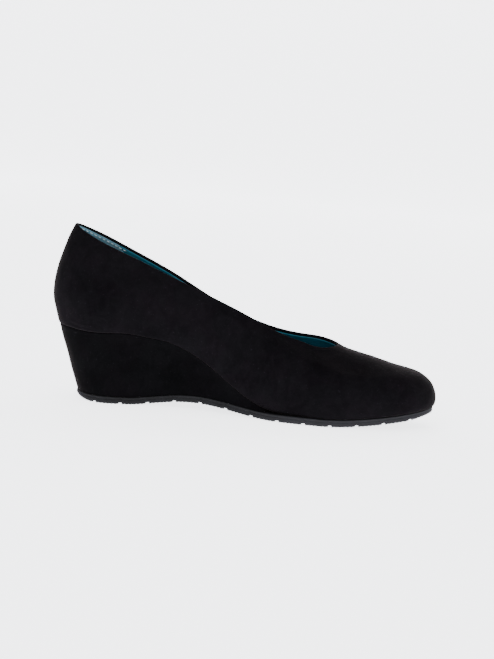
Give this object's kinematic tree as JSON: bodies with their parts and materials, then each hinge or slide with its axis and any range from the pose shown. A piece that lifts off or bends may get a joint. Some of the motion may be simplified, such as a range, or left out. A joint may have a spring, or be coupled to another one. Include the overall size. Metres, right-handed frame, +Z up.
{
  "type": "wedge pump",
  "caption": "Closed-toe slip-on pump for a left foot: a hollow suede upper with a deep oval opening over a covered wedge and a flexible rubber outsole.",
  "frame": {"origin": "on the floor, below the middle of the shoe's box", "axes": "+X points to the toe, +Y to the outer side of the foot, -Y to its inner side, +Z up"},
  "size_m": [0.2432, 0.0794, 0.1077],
  "materials": {
    "upper_suede": "black suede with a soft nap",
    "wedge_suede": "black suede stretched over the wedge",
    "outsole_rubber": "dull dark grey rubber",
    "insole_leather": "smooth teal leather",
    "lining_leather": "smooth teal leather",
    "edge_thread": "pale sewing thread"
  },
  "bodies": {
    "root": {"upper": "upper_suede", "insole": "insole_leather", "wedge": "wedge_suede", "outsole": "outsole_rubber"}
  },
  "joints": []
}
